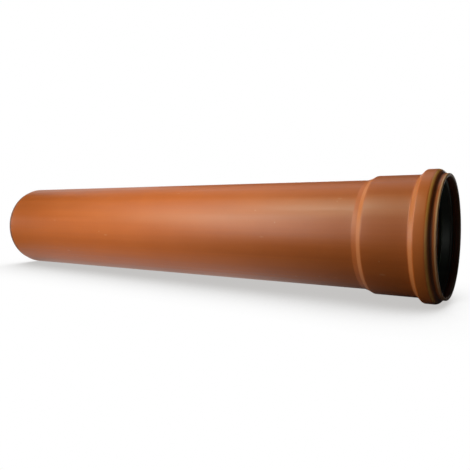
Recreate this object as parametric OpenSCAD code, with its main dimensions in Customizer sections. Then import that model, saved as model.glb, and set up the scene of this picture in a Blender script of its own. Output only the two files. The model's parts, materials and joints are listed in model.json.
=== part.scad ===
// Single socket drain pipe: a plastic pipe with one plain, chamfered end and one end
// belled out into a push-fit socket, whose groove holds a rubber lip seal.
// It lies as it does on a level floor, resting on the socket's bead and on the plain
// end, with its mouth towards +X and its lowest points at Z = 0.

/* [Pipe] */
// Overall length, from the socket's rim to the cut end
overall_length = 600; // [300:10:3000]
// Outside diameter of the barrel
pipe_od = 110; // [90:1:125]
// Wall thickness of the barrel
pipe_wall = 3.2; // [2.5:0.1:4.5]
// Length of the chamfer on the plain end
chamfer_length = 6; // [3:0.5:8]
// Angle between the chamfer and the pipe's axis
chamfer_angle = 15; // [8:1:20]

/* [Socket] */
// Room all round between an inserted pipe and the socket
socket_clearance = 0.8; // [0.3:0.1:1.5]
// Wall thickness of the socket
socket_wall = 3.2; // [2.5:0.1:4]
// Depth of the socket, from the rim to the start of the shoulder
socket_depth = 66.2; // [50:0.2:120]
// Length of the tapered shoulder between the socket and the barrel
shoulder_length = 10; // [6:0.5:30]
// Radius of the bends along the shoulder
shoulder_bend = 3; // [1:0.5:8]

/* [Seal groove] */
// Length of the straight lip in front of the bead
lip_length = 4.5; // [3:0.1:8]
// How much wider the lip is than the socket, all round
lip_flare = 0.9; // [0.3:0.1:1.5]
// Rounding of the rim's two edges
rim_round = 1.1; // [0.3:0.1:1.3]
// Wall thickness of the lip and the bead
bead_wall = 2.9; // [2.5:0.1:3.8]
// Depth of the groove below the socket's inner wall
groove_depth = 5.2; // [4.5:0.1:6.5]
// Run of the bead's front slope, on the mouth's side
front_slope = 3.5; // [3:0.1:6]
// Width of the bead's flat crown
crown_width = 11.1; // [9:0.1:16]
// Run of the bead's back slope, on the shoulder's side
back_slope = 4.9; // [3.5:0.1:7]
// Radius of the bends where the slopes meet the crown and the socket
bead_bend = 2; // [0.8:0.1:2.5]
// Radius of the rounder bend at the front edge of the crown, on the outside
front_bend = 5; // [2:0.5:6]

/* [Sealing ring] */
// Gap between the ring and the walls of its groove
ring_gap = 0.25; // [0.15:0.05:0.5]
// How far the tongue stands in the way of an inserted pipe, all round
tongue_squeeze = 2; // [0.5:0.1:2.6]
// Length of the tongue, from the front of the nose to its edge
tongue_length = 9.4; // [8:0.1:11]
// Thickness of the tongue at its edge
tongue_edge = 0.9; // [0.6:0.1:1.5]
// Room between the nose and an inserted pipe
nose_clearance = 0.4; // [0.2:0.1:0.8]
// Width of the nose, where it faces an inserted pipe
nose_width = 2; // [1:0.1:3]
// How far the nose stands out in front of the groove's floor
nose_lead = 1.1; // [0.5:0.1:1.5]
// How far the brow above the nose stands out in front of it
brow_lead = 1.1; // [0.3:0.1:1.5]
// How far the foot behind the tongue stays back from the socket's wall
foot_recess = 1.2; // [0.8:0.1:2]
// Width of the foot's end
foot_width = 1.5; // [1:0.1:2]
// Thickness of the rubber above the hollow between tongue and foot
web_thickness = 2.2; // [1.5:0.1:3]
// Rounding of the ring's edges
ring_round = 0.35; // [0.1:0.05:0.4]

/* [Hidden] */
$fn = 180;
// Largest turn of an arc between two of its points, on the pipe and on the small ring
pipe_arc_step = 15;
ring_arc_step = 30;
// A fillet takes up at most this share of the shorter side that it rounds
fillet_share = 0.48;
// The shoulder turns steeper at this share of its length, having risen by this share of its height
break_share = 0.54;
rise_share = 0.425;
// Turn of the pipe about its own axis, as it comes to rest
rest_roll = 177.5;

// How far a bend's inner corner lies behind its outer one, for a wall of even thickness
function mitre(wall, angle) = wall * tan(angle / 2);

// Radii of the barrel, the socket, the lip and the bead
pipe_r = pipe_od / 2;
bore_r = pipe_r - pipe_wall;
end_r = pipe_r - chamfer_length * tan(chamfer_angle);
socket_bore_r = pipe_r + socket_clearance;
socket_r = socket_bore_r + socket_wall;
lip_bore_r = socket_bore_r + lip_flare;
lip_r = lip_bore_r + bead_wall;
groove_r = socket_bore_r + groove_depth;
crown_r = groove_r + bead_wall;

// Places along the outside, as distances from the rim
crown_front = lip_length + front_slope;
crown_back = crown_front + crown_width;
bead_back = crown_back + back_slope;
shoulder_end = socket_depth + shoulder_length;
break_place = shoulder_end - break_share * shoulder_length;
break_r = pipe_r + rise_share * (socket_r - pipe_r);
chamfer_start = overall_length - chamfer_length;

// Angles of the bead's slopes and of the shoulder's two parts to the pipe's axis
front_angle = atan2(crown_r - lip_r, front_slope);
back_angle = atan2(crown_r - socket_r, back_slope);
gentle_angle = atan2(break_r - pipe_r, shoulder_end - break_place);
steep_angle = atan2(socket_r - break_r, break_place - socket_depth);
break_angle = (steep_angle + gentle_angle) / 2;
break_wall = pipe_wall / cos((steep_angle - gentle_angle) / 2);

// Places along the inside, set back by each bend's mitre
lip_bore_end = lip_length + mitre(bead_wall, front_angle);
groove_front = crown_front + mitre(bead_wall, front_angle);
groove_back = crown_back - mitre(bead_wall, back_angle);
socket_bore_start = bead_back - mitre(socket_wall, back_angle);
socket_bore_end = socket_depth - mitre(socket_wall, steep_angle);
break_bore_place = break_place - break_wall * sin(break_angle);
break_bore_r = break_r - break_wall * cos(break_angle);
bore_start = shoulder_end - mitre(pipe_wall, gentle_angle);

// The sealing ring's heel fills the groove, and its flanks follow the groove's slopes
heel_r = groove_r - ring_gap;
heel_front = groove_front + mitre(ring_gap, front_angle);
heel_back = groove_back - mitre(ring_gap, back_angle);
heel_bend = bead_bend - ring_gap;
groove_back_angle = atan2(groove_depth, socket_bore_start - groove_back);

// The ring's nose, tongue, hollow and foot
nose_r = pipe_r + nose_clearance;
nose_front = groove_front - nose_lead;
brow_front = nose_front - brow_lead;
brow_r = heel_r - (heel_front - brow_front) * tan(front_angle);
tongue_r = pipe_r - tongue_squeeze;
tongue_tip = nose_front + tongue_length;
web_r = heel_r - web_thickness;
web_place = (groove_front + groove_back) / 2;
foot_r = socket_bore_r + foot_recess;
foot_back = heel_back + (heel_r - foot_r) / tan(groove_back_angle);

// The pipe rests on the back edge of the bead's crown and on the start of the chamfer
crown_contact = crown_back - mitre(bead_bend, back_angle);
rest_tilt = atan2(crown_r - pipe_r, chamfer_start - crown_contact);
middle_height = pipe_r * cos(rest_tilt) + (chamfer_start - overall_length / 2) * sin(rest_tilt);

// One corner [radius, place, fillet] as an arc that is tangent to the sides towards a and b
function corner_arc(a, corner, b, arc_step) =
  let (
    p = [corner[0], corner[1]],
    to_a = [a[0], a[1]] - p,
    to_b = [b[0], b[1]] - p,
    u = to_a / norm(to_a),
    v = to_b / norm(to_b),
    half = acos(u * v) / 2,
    room = fillet_share * min(norm(to_a), norm(to_b)),
    fillet = min(corner[2], room * tan(half)),
    centre = p + (u + v) / norm(u + v) * fillet / sin(half),
    start = p + u * fillet / tan(half) - centre,
    turn = sign(u[1] * v[0] - u[0] * v[1]) * (180 - 2 * half),
    steps = ceil(abs(turn) / arc_step)
  )
  fillet == 0 ? [p] : [
    for (i = [0 : steps])
      let (angle = turn * i / steps)
        centre + [
          start[0] * cos(angle) - start[1] * sin(angle),
          start[0] * sin(angle) + start[1] * cos(angle)
        ]
  ];

// A closed outline through corners [radius, place, fillet]
function rounded(corners, arc_step) =
  let (n = len(corners))
  [
    for (i = [0 : n - 1])
      each corner_arc(corners[(i + n - 1) % n], corners[i], corners[(i + 1) % n], arc_step)
  ];

// Lays a piece that stands on its mouth, with its axis on Z, down on the floor
module lie_down() {
  translate([0, 0, middle_height])
    rotate([0, -90 - rest_tilt, 0])
      translate([0, 0, -overall_length / 2])
        rotate([0, 0, -rest_roll])
          children();
}

// Extruded barrel with its heat-formed socket, one piece of plastic
module pipe() {
  outside = [
    [lip_r, 0, rim_round],
    [lip_r, lip_length, bead_bend],
    [crown_r, crown_front, front_bend],
    [crown_r, crown_back, bead_bend],
    [socket_r, bead_back, bead_bend],
    [socket_r, socket_depth, shoulder_bend],
    [break_r, break_place, shoulder_bend],
    [pipe_r, shoulder_end, shoulder_bend],
    [pipe_r, chamfer_start, 0],
    [end_r, overall_length, 0]
  ];
  inside = [
    [bore_r, overall_length, 0],
    [bore_r, bore_start, shoulder_bend],
    [break_bore_r, break_bore_place, shoulder_bend],
    [socket_bore_r, socket_bore_end, shoulder_bend],
    [socket_bore_r, socket_bore_start, bead_bend],
    [groove_r, groove_back, bead_bend],
    [groove_r, groove_front, bead_bend],
    [lip_bore_r, lip_bore_end, bead_bend],
    [lip_bore_r, 0, rim_round]
  ];
  color("#b8693c")
    lie_down()
      rotate_extrude()
        polygon(rounded(concat(outside, inside), pipe_arc_step));
}

// Moulded rubber ring: a heel in the groove, a nose in front and a tongue that an
// inserted pipe bends back
module sealing_ring() {
  section = [
    [heel_r, heel_front, heel_bend],
    [heel_r, heel_back, heel_bend],
    [foot_r, foot_back, ring_round],
    [foot_r, foot_back - foot_width, ring_round],
    [web_r, web_place, ring_round],
    [tongue_r + tongue_edge, tongue_tip, ring_round],
    [tongue_r, tongue_tip, ring_round],
    [nose_r, nose_front + nose_width, ring_round],
    [nose_r, nose_front, ring_round],
    [brow_r, brow_front, ring_round]
  ];
  color("#1f2320")
    lie_down()
      rotate_extrude()
        polygon(rounded(section, ring_arc_step));
}

pipe();
sealing_ring();
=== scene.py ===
import json
import math

import bmesh
import bpy
from mathutils import Euler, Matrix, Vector


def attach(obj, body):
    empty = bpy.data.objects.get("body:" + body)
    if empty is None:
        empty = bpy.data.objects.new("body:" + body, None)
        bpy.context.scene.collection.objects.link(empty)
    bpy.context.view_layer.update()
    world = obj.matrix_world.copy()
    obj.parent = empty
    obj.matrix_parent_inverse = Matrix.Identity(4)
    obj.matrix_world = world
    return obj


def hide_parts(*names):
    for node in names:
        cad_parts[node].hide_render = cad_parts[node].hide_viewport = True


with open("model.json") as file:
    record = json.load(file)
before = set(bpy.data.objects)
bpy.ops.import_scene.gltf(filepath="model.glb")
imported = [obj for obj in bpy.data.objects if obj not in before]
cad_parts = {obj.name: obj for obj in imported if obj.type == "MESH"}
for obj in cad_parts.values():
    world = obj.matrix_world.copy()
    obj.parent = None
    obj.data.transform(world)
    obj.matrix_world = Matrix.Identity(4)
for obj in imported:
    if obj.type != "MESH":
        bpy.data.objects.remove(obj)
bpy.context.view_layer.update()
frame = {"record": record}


# Pipe
# One length of orange-brown unplasticised vinyl, extruded as a plain tube. One end is turned to a
# chamfer. The other is heated and belled over a mandrel into the socket, with a bead that is hollow
# inside and a short lip in front of it. All sizes are in metres.

mounts = {mount["name"]: mount for mount in frame["record"]["mounts"]}
mouth = Vector(mounts["socket"]["pos_m"])
towards_mouth = Vector(mounts["socket"]["axis"]).normalized()
across = Vector((0, 1, 0))
rise = math.atan2(towards_mouth.z, towards_mouth.x)

barrel_r = mounts["spigot"]["dims"]["r_mm"] / 1000
bore_r = mounts["pipe_bore"]["dims"]["r_mm"] / 1000
barrel_wall = barrel_r - bore_r
pipe_end = 0.6000
chamfer_length = 0.0060
chamfer_angle = math.radians(15)
cut_edge = 0.00025

socket_clearance = 0.0008
socket_wall = 0.0032
socket_end = 0.0662
shoulder_length = 0.0100
shoulder_bend = 0.0030

lip_end = 0.0045
lip_flare = 0.0009
rim_round = 0.0011
bead_wall = 0.0029
groove_depth = 0.0052
front_slope = 0.0035
crown_width = 0.0111
back_slope = 0.0049
bead_bend = 0.0020
front_bend = 0.0050

# Radii of the cut end, the socket, the lip and the bead
end_r = barrel_r - chamfer_length * math.tan(chamfer_angle)
socket_bore_r = barrel_r + socket_clearance
socket_r = socket_bore_r + socket_wall
lip_bore_r = socket_bore_r + lip_flare
lip_r = lip_bore_r + bead_wall
groove_r = socket_bore_r + groove_depth
crown_r = groove_r + bead_wall

# Places along the outside, as distances behind the rim
crown_front = lip_end + front_slope
crown_back = crown_front + crown_width
bead_end = crown_back + back_slope
shoulder_end = socket_end + shoulder_length
chamfer_start = pipe_end - chamfer_length

# The shoulder rises gently from the barrel and turns steeper about half way up
gentle_length = 0.0054
gentle_rise = 0.0017
break_place = shoulder_end - gentle_length
break_r = barrel_r + gentle_rise
gentle_angle = math.atan2(gentle_rise, gentle_length)
steep_angle = math.atan2(socket_r - break_r, break_place - socket_end)
break_angle = (gentle_angle + steep_angle) / 2
break_wall = barrel_wall / math.cos((steep_angle - gentle_angle) / 2)

front_angle = math.atan2(crown_r - lip_r, front_slope)
back_angle = math.atan2(crown_r - socket_r, back_slope)


def set_back(wall, angle):
    """How far an inner corner lies from its outer one along the pipe, for a wall of even thickness."""
    return wall * math.tan(angle / 2)


# Places along the inside
lip_bore_end = lip_end + set_back(bead_wall, front_angle)
groove_front = crown_front + set_back(bead_wall, front_angle)
groove_back = crown_back - set_back(bead_wall, back_angle)
socket_bore_start = bead_end - set_back(socket_wall, back_angle)
socket_bore_end = socket_end - set_back(socket_wall, steep_angle)
break_bore_place = break_place - break_wall * math.sin(break_angle)
break_bore_r = break_r - break_wall * math.cos(break_angle)
bore_start = shoulder_end - set_back(barrel_wall, gentle_angle)

# Corners as (radius, distance behind the rim, fillet)
pipe_section = [
    (lip_r, 0, rim_round),
    (lip_r, lip_end, bead_bend),
    (crown_r, crown_front, front_bend),
    (crown_r, crown_back, bead_bend),
    (socket_r, bead_end, bead_bend),
    (socket_r, socket_end, shoulder_bend),
    (break_r, break_place, shoulder_bend),
    (barrel_r, shoulder_end, shoulder_bend),
    (barrel_r, chamfer_start, cut_edge),
    (end_r, pipe_end, cut_edge),
    (bore_r, pipe_end, cut_edge),
    (bore_r, bore_start, shoulder_bend),
    (break_bore_r, break_bore_place, shoulder_bend),
    (socket_bore_r, socket_bore_end, shoulder_bend),
    (socket_bore_r, socket_bore_start, bead_bend),
    (groove_r, groove_back, bead_bend),
    (groove_r, groove_front, bead_bend),
    (lip_bore_r, lip_bore_end, bead_bend),
    (lip_bore_r, 0, rim_round),
]
spin_steps = 240
merge_distance = 1e-7


def turned(name, corners, arc_cuts, longest_side):
    """A closed section of rounded corners, spun about the pipe's axis."""
    shape = bmesh.new()
    points = [
        shape.verts.new(mouth - behind_rim * towards_mouth + radius * across)
        for radius, behind_rim, fillet in corners
    ]
    for point, following in zip(points, points[1:] + points[:1]):
        shape.edges.new((point, following))
    for point, (radius, behind_rim, fillet) in zip(points, corners):
        sides = [edge.other_vert(point).co - point.co for edge in point.link_edges]
        turn = math.pi - sides[0].angle(sides[1])
        bmesh.ops.bevel(
            shape,
            geom=[point],
            offset=fillet * math.tan(turn / 2),
            offset_type="OFFSET",
            affect="VERTICES",
            segments=max(2, math.ceil(arc_cuts * turn / math.pi)),
            profile=0.5,
            material=-1,
        )
    for side in shape.edges[:]:
        cuts = math.ceil(side.calc_length() / longest_side) - 1
        if cuts:
            bmesh.ops.subdivide_edges(shape, edges=[side], cuts=cuts)
    bmesh.ops.spin(
        shape,
        geom=shape.verts[:] + shape.edges[:],
        cent=mouth,
        axis=towards_mouth,
        angle=2 * math.pi,
        steps=spin_steps,
        use_merge=True,
    )
    bmesh.ops.remove_doubles(shape, verts=shape.verts[:], dist=merge_distance)
    bmesh.ops.recalc_face_normals(shape, faces=shape.faces[:])
    for face in shape.faces:
        face.smooth = True
    mesh = bpy.data.meshes.new(name)
    shape.to_mesh(mesh)
    shape.free()
    piece = bpy.data.objects.new(name, mesh)
    bpy.context.scene.collection.objects.link(piece)
    return piece


class Wire:
    """One socket of a node tree. Sums and products of wires add their Math nodes."""

    def __init__(self, tree, socket=None):
        self.tree = tree
        self.socket = socket

    def node(self, kind, settings, inputs, output=0):
        """Adds a node with its settings, fills or links its inputs, and gives one of its outputs."""
        made = self.tree.nodes.new(kind)
        for name, value in settings.items():
            setattr(made, name, value)
        for name, value in inputs.items():
            if isinstance(value, Wire):
                self.tree.links.new(value.socket, made.inputs[name])
            else:
                made.inputs[name].default_value = value
        return Wire(self.tree, made.outputs[output]) if made.outputs else None

    def maths(self, operation, first, second):
        return self.node("ShaderNodeMath", {"operation": operation}, {0: first, 1: second})

    def __add__(self, other):
        return self.maths("ADD", self, other)

    def __sub__(self, other):
        return self.maths("SUBTRACT", self, other)

    def __rsub__(self, other):
        return self.maths("SUBTRACT", other, self)

    def __mul__(self, other):
        return self.maths("MULTIPLY", self, other)

    def __truediv__(self, other):
        return self.maths("DIVIDE", self, other)

    def __rtruediv__(self, other):
        return self.maths("DIVIDE", other, self)

    __radd__ = __add__
    __rmul__ = __mul__

    def above(self, start, full):
        """0 below start, 1 beyond full, and smooth between them."""
        inputs = {"Value": self, "From Min": start, "From Max": full}
        return self.node("ShaderNodeMapRange", {"interpolation_type": "SMOOTHSTEP"}, inputs)

    def past(self, edge, fade):
        """0 before edge and 1 beyond it, with a smooth change over the width fade."""
        return self.above(edge - fade / 2, edge + fade / 2)

    def between(self, plain, marked):
        """A colour that goes from plain to marked as this value goes from 0 to 1."""
        factor, first_colour, second_colour, mixed_colour = 0, 6, 7, 2
        inputs = {factor: self, first_colour: plain, second_colour: marked}
        return self.node("ShaderNodeMix", {"data_type": "RGBA"}, inputs, mixed_colour)

    def noise(self, where, scale, detail, roughness=0.5):
        inputs = {"Vector": where, "Scale": scale, "Detail": detail, "Roughness": roughness}
        return self.node("ShaderNodeTexNoise", {}, inputs)


def new_material(name):
    """An empty material, and a wire to start its nodes from."""
    material = bpy.data.materials.new(name)
    material.use_nodes = True
    material.node_tree.nodes.clear()
    return material, Wire(material.node_tree)


def along_the_pipe(start):
    """Place in Object coordinates, distance behind the rim, radius, and direction round the axis."""
    turn = Euler((0, rise, 0))
    place = start.node("ShaderNodeTexCoord", {}, {}, "Object")
    straight = start.node(
        "ShaderNodeMapping",
        {"vector_type": "POINT"},
        {"Vector": place, "Location": -(turn.to_matrix() @ mouth), "Rotation": turn},
    )
    before_rim = start.node("ShaderNodeSeparateXYZ", {}, {"Vector": straight}, "X")
    outward = start.node(
        "ShaderNodeVectorMath", {"operation": "MULTIPLY"}, {0: straight, 1: (0, 1, 1)}
    )
    radius = start.node("ShaderNodeVectorMath", {"operation": "LENGTH"}, {0: outward}, "Value")
    direction = start.node("ShaderNodeVectorMath", {"operation": "NORMALIZE"}, {0: outward})
    return place, 0 - before_rim, radius, direction


vinyl_base = (0.51, 0.122, 0.0135, 1)
vinyl_deep = (0.45, 0.102, 0.010, 1)
vinyl_scratched = (0.58, 0.26, 0.12, 1)
# Painted highlights on the rim, the bead's crown and its front edge
rim_highlight_paint = (0.68, 0.40, 0.19, 1)
crown_highlight_paint = (0.60, 0.145, 0.016, 1)
edge_highlight_paint = (0.88, 0.42, 0.085, 1)
# Painted highlights on the steep part of the shoulder and on the bead's back
shoulder_highlight_paint = (0.58, 0.18, 0.045, 1)
bead_back_highlight_paint = (0.51, 0.155, 0.032, 1)
# A dark colour painted on the turned end
turned_end_dark = (0.13, 0.045, 0.012, 1)
# Painted shade inside the lip and in the corner between the lip and the bead
lip_painted_shade = (0.14, 0.07, 0.03, 1)
corner_painted_shade = (0.10, 0.022, 0.004, 1)
speck_cover = 0.5
scuff_cover = 0.4
scuff_stretch = (0.4, 1, 1)
turned_end_dark_cover = 0.75
painted_shade_cover = 0.7
vinyl_roughness = 0.42
cut_roughness = 0.14
turned_roughness = 0.2
vinyl_ior = 1.53
noise_middle = 0.5

# Where one finish or painted mark goes over into the next, as distances behind the rim and as radii
sawn_to = 0.0006
rim_highlight_to = 0.0019
corner_from = lip_end - 0.0009
front_edge_to = crown_front + 0.0017
bead_back_from = crown_back + 0.0005
bead_back_to = bead_end - 0.0005
steep_from = socket_end + 0.0007
cut_face_r = bore_r + 0.0009
steep_foot_r = break_r - 0.0005
bead_foot_r = socket_r + 0.0002
lip_inside_r = lip_bore_r + 0.0006
lip_outside_r = lip_r - 0.0010
corner_top_r = lip_r + 0.0016
edge_foot_r = crown_r - 0.0015
edge_top_r = crown_r - 0.0003
crown_foot_r = crown_r - 0.0004


def vinyl():
    """Extruded orange-brown vinyl: satin, with faint die lines along it and turned or sawn ends."""
    material, start = new_material("orange_brown_vinyl")
    place, behind_rim, radius, direction = along_the_pipe(start)

    def streaks(count, length, detail):
        """Lines along the pipe, about count of them round it and each about length long."""
        scale = count / (2 * math.pi)
        run = start.node("ShaderNodeCombineXYZ", {}, {"X": behind_rim / (length * scale)})
        where = start.node("ShaderNodeVectorMath", {"operation": "ADD"}, {0: direction, 1: run})
        return start.noise(where, scale, detail)

    def spots(where, scale):
        """Distance to the nearest of many scattered points."""
        return start.node("ShaderNodeTexVoronoi", {}, {"Vector": where, "Scale": scale}, "Distance")

    broad = streaks(count=28, length=0.50, detail=3.0)
    drawn = streaks(count=150, length=0.50, detail=3.0)
    fine = streaks(count=320, length=0.25, detail=2.0)
    cloud = start.noise(place, scale=16.0, detail=3.0)
    grain = start.noise(place, scale=1600.0, detail=2.0)
    tone = broad * 0.35 + cloud * 0.35 + drawn * 0.3
    colour = tone.above(0.35, 0.7).between(vinyl_deep, vinyl_base)

    # Small specks, and scuffs that run along the pipe
    speck = 1 - spots(place, scale=42.0).above(0.02, 0.05)
    colour = (speck * speck_cover).between(colour, vinyl_scratched)
    scuff_place = start.node(
        "ShaderNodeVectorMath", {"operation": "MULTIPLY"}, {0: place, 1: scuff_stretch}
    )
    scuff = 1 - spots(scuff_place, scale=50.0).above(0.02, 0.08)
    colour = (scuff * scuff_cover).between(colour, vinyl_scratched)

    # The turned end is painted dark
    outside = radius.past(cut_face_r, fade=0.0006)
    turned_end = behind_rim.past(chamfer_start, fade=0.0002) * outside
    colour = (turned_end * turned_end_dark_cover).between(colour, turned_end_dark)

    # The rim, the bead's crown and its front edge are painted paler, as painted highlights
    rim_band = 1 - behind_rim.past(rim_highlight_to, fade=0.0010)
    colour = (rim_band * (0.6 + cloud * 0.4)).between(colour, rim_highlight_paint)
    crown = radius.past(crown_foot_r, fade=0.0004)
    colour = crown.between(colour, crown_highlight_paint)
    in_front = 1 - behind_rim.past(front_edge_to, fade=0.0010)
    edge_band = radius.past(edge_foot_r, fade=0.0010) * in_front
    edge_band = edge_band * (1 - radius.past(edge_top_r, fade=0.0004))
    colour = (edge_band * (0.6 + broad * 0.6)).between(colour, edge_highlight_paint)

    # The steep part of the shoulder and the bead's back are painted paler, as painted highlights
    steep = behind_rim.past(steep_from, fade=0.0010)
    steep = steep * (1 - behind_rim.past(break_place, fade=0.0012))
    steep = steep * radius.past(steep_foot_r, fade=0.0006)
    colour = steep.between(colour, shoulder_highlight_paint)
    bead_back = behind_rim.past(bead_back_from, fade=0.0010)
    bead_back = bead_back * (1 - behind_rim.past(bead_back_to, fade=0.0010))
    bead_back = bead_back * radius.past(bead_foot_r, fade=0.0004)
    colour = bead_back.between(colour, bead_back_highlight_paint)

    # Painted shade inside the lip, and in the corner between the lip and the bead
    inside_lip = (1 - radius.past(lip_inside_r, fade=0.0006)) * in_front
    colour = (inside_lip * painted_shade_cover).between(colour, lip_painted_shade)
    corner = behind_rim.past(corner_from, fade=0.0014) * in_front
    corner = corner * (1 - radius.past(corner_top_r, fade=0.0016))
    corner = corner * radius.past(lip_outside_r, fade=0.0004)
    colour = (corner * painted_shade_cover).between(colour, corner_painted_shade)

    # The turned end and the sawn rim are rougher, with fine rings from the tool
    sawn_rim = 1 - behind_rim.past(sawn_to, fade=0.0004)
    cut = start.maths("MAXIMUM", turned_end, sawn_rim)
    section_place = start.node("ShaderNodeCombineXYZ", {}, {"X": behind_rim, "Y": radius})
    rings = start.noise(section_place, scale=4200.0, detail=1.0)
    lines = (drawn - noise_middle) * 0.30 + (fine - noise_middle) * 0.06
    satin = vinyl_roughness + lines + (cloud - noise_middle) * 0.08
    roughness = satin + cut * cut_roughness + turned_end * turned_roughness
    height = drawn * 0.5 + fine * 0.35 + grain * 0.12 + rings * cut * 1.5
    bump = start.node("ShaderNodeBump", {}, {"Strength": 0.25, "Distance": 0.00008, "Height": height})
    surface = start.node(
        "ShaderNodeBsdfPrincipled",
        {},
        {"Base Color": colour, "Roughness": roughness, "IOR": vinyl_ior, "Normal": bump},
    )
    start.node("ShaderNodeOutputMaterial", {}, {"Surface": surface})
    return material


pipe = turned("drain_pipe", pipe_section, arc_cuts=24, longest_side=0.012)
pipe.data.materials.append(vinyl())
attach(pipe, "root")
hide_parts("pipe")


# Sealing ring
# A moulded ring of black rubber. Its heel is pressed into the groove inside the bead, its nose
# looks out of the mouth, and its tongue leans inwards, to be bent back by the next pipe.

ring_gap = 0.00025
ring_round = 0.00035
nose_clearance = 0.0004
nose_lead = 0.0011
nose_width = 0.0020
brow_lead = 0.0011
tongue_squeeze = 0.0020
tongue_length = 0.0094
tongue_edge = 0.0009
web_thickness = 0.0022
foot_recess = 0.0012
foot_width = 0.0015

# The heel fills the groove, and its flanks follow the groove's slopes
heel_r = groove_r - ring_gap
heel_front = groove_front + set_back(ring_gap, front_angle)
heel_back = groove_back - set_back(ring_gap, back_angle)
heel_bend = bead_bend - ring_gap

nose_r = barrel_r + nose_clearance
nose_front = groove_front - nose_lead
nose_back = nose_front + nose_width
brow_front = nose_front - brow_lead
brow_r = heel_r - (heel_front - brow_front) * math.tan(front_angle)
tongue_r = barrel_r - tongue_squeeze
tongue_tip = nose_front + tongue_length
web_r = heel_r - web_thickness
web_place = (groove_front + groove_back) / 2
groove_slope = (socket_bore_start - groove_back) / groove_depth
foot_r = socket_bore_r + foot_recess
foot_back = heel_back + (heel_r - foot_r) * groove_slope

ring_section = [
    (heel_r, heel_front, heel_bend),
    (heel_r, heel_back, heel_bend),
    (foot_r, foot_back, ring_round),
    (foot_r, foot_back - foot_width, ring_round),
    (web_r, web_place, ring_round),
    (tongue_r + tongue_edge, tongue_tip, ring_round),
    (tongue_r, tongue_tip, ring_round),
    (nose_r, nose_back, ring_round),
    (nose_r, nose_front, ring_round),
    (brow_r, brow_front, ring_round),
]

rubber_black = (0.038, 0.058, 0.038, 1)
rubber_bloom = (0.062, 0.092, 0.060, 1)
# A painted highlight on the nose
nose_highlight_paint = (0.13, 0.15, 0.13, 1)
nose_highlight_to = nose_back - 0.0001
rubber_roughness = 0.38
rubber_ior = 1.52


def rubber():
    """Moulded black rubber, with a faint grey bloom and a painted highlight on the nose."""
    material, start = new_material("black_rubber")
    place, behind_rim = along_the_pipe(start)[:2]
    bloom = start.noise(place, scale=90.0, detail=4.0, roughness=0.6)
    grain = start.noise(place, scale=2600.0, detail=2.0)
    colour = bloom.above(0.3, 0.8).between(rubber_black, rubber_bloom)
    # A painted highlight on the nose, mottled by the bloom
    nose_band = 1 - behind_rim.past(nose_highlight_to, fade=0.0006)
    colour = (nose_band * (0.4 + bloom * 0.6)).between(colour, nose_highlight_paint)
    roughness = rubber_roughness + bloom * 0.16
    bump = start.node("ShaderNodeBump", {}, {"Strength": 0.3, "Distance": 0.00005, "Height": grain})
    surface = start.node(
        "ShaderNodeBsdfPrincipled",
        {},
        {"Base Color": colour, "Roughness": roughness, "IOR": rubber_ior, "Normal": bump},
    )
    start.node("ShaderNodeOutputMaterial", {}, {"Surface": surface})
    return material


sealing_ring = turned("sealing_ring_rubber", ring_section, arc_cuts=16, longest_side=0.002)
sealing_ring.data.materials.append(rubber())
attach(sealing_ring, "root")
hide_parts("sealing_ring")


# Floor
# A wide white studio floor that the pipe lies on. The camera sees it white, with a painted soft shade
# under the pipe. Other light meets its own grey, painted lighter under the pipe's left part as a pool of
# light, so the underside of the pipe stays deep. Its reflection is a painted glow, bright only behind
# the pipe and under the left three quarters of it.

floor_half = 30.0
floor_white = (1, 1, 1, 1)
floor_shade = (0.55, 0.54, 0.53, 1)
shade_reach = 0.10
floor_grey = (0.18, 0.18, 0.18, 1)
lit_grey = (0.34, 0.34, 0.34, 1)
unlit = (0, 0, 0, 1)
lit_from = -0.32
lit_to = 0.16
strip_from = -0.06
far_from = 0.15
glow_strength = 1.63
strip_glow = 0.98
far_glow = 0.49
least_glow = 0.02


def studio_white():
    """White to the camera with a painted shade, grey to other light, and a painted glow in reflections.
    """
    material, start = new_material("studio_white")
    open_sky = start.node("ShaderNodeAmbientOcclusion", {"samples": 8}, {"Distance": shade_reach}, "AO")
    # Painted shade under the pipe, from how open the floor is to the sky
    shaded = open_sky.above(0.2, 1.0).between(floor_shade, floor_white)
    white = start.node("ShaderNodeEmission", {}, {"Color": shaded, "Strength": 1.0}, "Emission")

    place = start.node("ShaderNodeTexCoord", {}, {}, "Object")
    along = start.node("ShaderNodeSeparateXYZ", {}, {"Vector": place}, "X")
    beyond = start.node("ShaderNodeSeparateXYZ", {}, {"Vector": place}, "Y")
    # The grey is painted lighter across the floor under the pipe's left part, as a pool of light
    lit_side = along.past(lit_from, fade=0.20) * (1 - along.past(lit_to, fade=0.24))
    tone = lit_side.between(floor_grey, lit_grey)
    grey = start.node("ShaderNodeBsdfDiffuse", {}, {"Color": tone}, "BSDF")

    # The glow in reflections is painted light, under and behind the pipe's left part and far behind it
    strip = lit_side * beyond.past(strip_from, fade=0.08) * strip_glow
    far = beyond.past(far_from, fade=0.20) * far_glow
    lit = start.maths("MAXIMUM", strip, far) + least_glow
    glow_colour = lit.between(unlit, shaded)
    glow = start.node(
        "ShaderNodeEmission", {}, {"Color": glow_colour, "Strength": glow_strength}, "Emission"
    )

    camera_ray = start.node("ShaderNodeLightPath", {}, {}, "Is Camera Ray")
    glossy_ray = start.node("ShaderNodeLightPath", {}, {}, "Is Glossy Ray")
    clear_ray = start.node("ShaderNodeLightPath", {}, {}, "Is Transmission Ray")
    mirrored = start.node("ShaderNodeMixShader", {}, {0: glossy_ray, 1: grey, 2: glow}, "Shader")
    surface = start.node(
        "ShaderNodeMixShader", {}, {0: camera_ray + clear_ray, 1: mirrored, 2: white}, "Shader"
    )
    start.node("ShaderNodeOutputMaterial", {}, {"Surface": surface})
    return material


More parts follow.
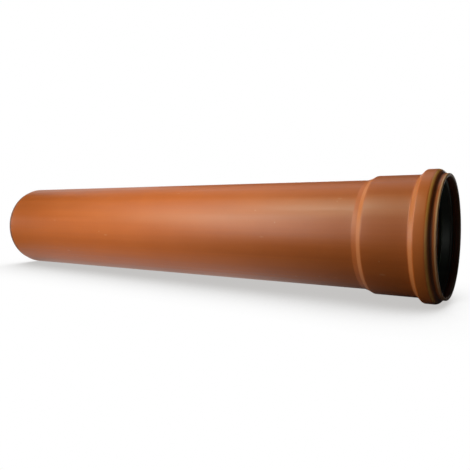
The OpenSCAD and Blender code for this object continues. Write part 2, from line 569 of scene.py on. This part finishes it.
sheet = bmesh.new()
bmesh.ops.create_grid(sheet, x_segments=1, y_segments=1, size=floor_half)
floor_mesh = bpy.data.meshes.new("studio_floor")
sheet.to_mesh(floor_mesh)
sheet.free()
floor = bpy.data.objects.new("studio_floor", floor_mesh)
bpy.context.scene.collection.objects.link(floor)
floor.data.materials.append(studio_white())


# Light
# The main light comes from far left, with softer lamps above, in front, behind and low at the floor.
# Three cards show only in reflections: the barrel's sheen, the seal and rim, and the left flanks. The
# room around them is dark, and white only to the camera.

white_light = (1, 1, 1)
straw_light = (1, 1, 0.7)
green_light = (0.80, 1, 0.80)
axis_height = 0.06
left_place = (-3.00, -0.15, 0.22)
left_target = (0.20, 0, axis_height)


def soft_lamp(name, place, target, size, watts, mirrored=True, shining=True, tint=white_light):
    """A rectangular lamp that faces target. It can be kept out of reflections, or show only there."""
    lamp = bpy.data.lights.new(name, "AREA")
    lamp.shape = "RECTANGLE"
    lamp.size, lamp.size_y = size
    lamp.energy = watts
    lamp.color = tint
    holder = bpy.data.objects.new(name, lamp)
    holder.location = place
    holder.rotation_euler = (Vector(target) - Vector(place)).to_track_quat("-Z", "Y").to_euler()
    holder.visible_camera = False
    holder.visible_glossy = mirrored
    holder.visible_diffuse = shining
    bpy.context.scene.collection.objects.link(holder)


# Each lamp has a place, a target, a width and depth, and its watts. Two are slightly tinted, for the
# tan sheen on the barrel.
soft_lamp("left_lamp", left_place, left_target, (0.80, 0.40), 20.0)
soft_lamp("left_fill", left_place, left_target, (0.80, 0.40), 29.0, mirrored=False)
soft_lamp("key_lamp", (-0.50, -0.45, 0.85), (-0.15, 0, axis_height), (0.50, 0.50), 1.6)
soft_lamp("front_lamp", (-0.10, -0.44, 0.19), (-0.10, 0, axis_height), (0.25, 0.36), 1.00)
soft_lamp("top_lamp", (0.03, -0.23, 0.42), (0.03, 0, axis_height), (0.25, 0.25), 0.94, tint=straw_light)
soft_lamp("back_lamp", (-0.05, 0.25, 0.55), (-0.05, 0, axis_height), (0.80, 0.25), 0.65)
soft_lamp("behind_lamp", (-0.05, 1.20, 0.22), (-0.05, 0, axis_height), (1.00, 0.30), 4.0)
soft_lamp("floor_strip", (-0.22, -0.20, 0.02), (-0.22, 0, 0.03), (0.45, 0.03), 0.12, mirrored=False)
soft_lamp(
    "sheen_card", (-0.28, -0.42, 0.33), (0.00, -0.04, 0.08), (0.26, 0.28), 0.95,
    shining=False, tint=green_light,
)
soft_lamp("side_card", (0.70, -0.55, 0.16), (0.29, -0.03, axis_height), (0.45, 0.30), 0.32, shining=False)
soft_lamp("far_card", (-0.55, 0.28, 0.34), (0.28, -0.05, 0.09), (0.35, 0.30), 0.30, shining=False)

room_fill = 0.004
room_seen = 1 - room_fill
room_mirrored = 0.02
room = bpy.data.worlds.new("studio_room")
room.use_nodes = True
room.node_tree.nodes.clear()
room_start = Wire(room.node_tree)
camera_ray = room_start.node("ShaderNodeLightPath", {}, {}, "Is Camera Ray")
glossy_ray = room_start.node("ShaderNodeLightPath", {}, {}, "Is Glossy Ray")
clear_ray = room_start.node("ShaderNodeLightPath", {}, {}, "Is Transmission Ray")
room_strength = (camera_ray + clear_ray) * room_seen + glossy_ray * room_mirrored + room_fill
room_light = room_start.node(
    "ShaderNodeBackground", {}, {"Color": (1, 1, 1, 1), "Strength": room_strength}, "Background"
)
room_start.node("ShaderNodeOutputWorld", {}, {"Surface": room_light})
bpy.context.scene.world = room


# Camera
# It stands in front of the pipe, a little to the right of its mouth and above its axis. It looks left
# and slightly down, so that the pipe runs away from it to the plain end.

camera_place = (0.391486, -0.512877, 0.104977)
camera_dip = math.radians(4.622)
camera_turn = math.radians(32.785)
level = math.radians(90)
camera_lens = bpy.data.cameras.new("camera")
camera_lens.sensor_width = 36.0
camera_lens.lens = 39.576
camera = bpy.data.objects.new("camera", camera_lens)
camera.location = camera_place
camera.rotation_euler = (level - camera_dip, 0, camera_turn)
bpy.context.scene.collection.objects.link(camera)
bpy.context.scene.camera = camera
bpy.context.scene.view_settings.view_transform = "Standard"
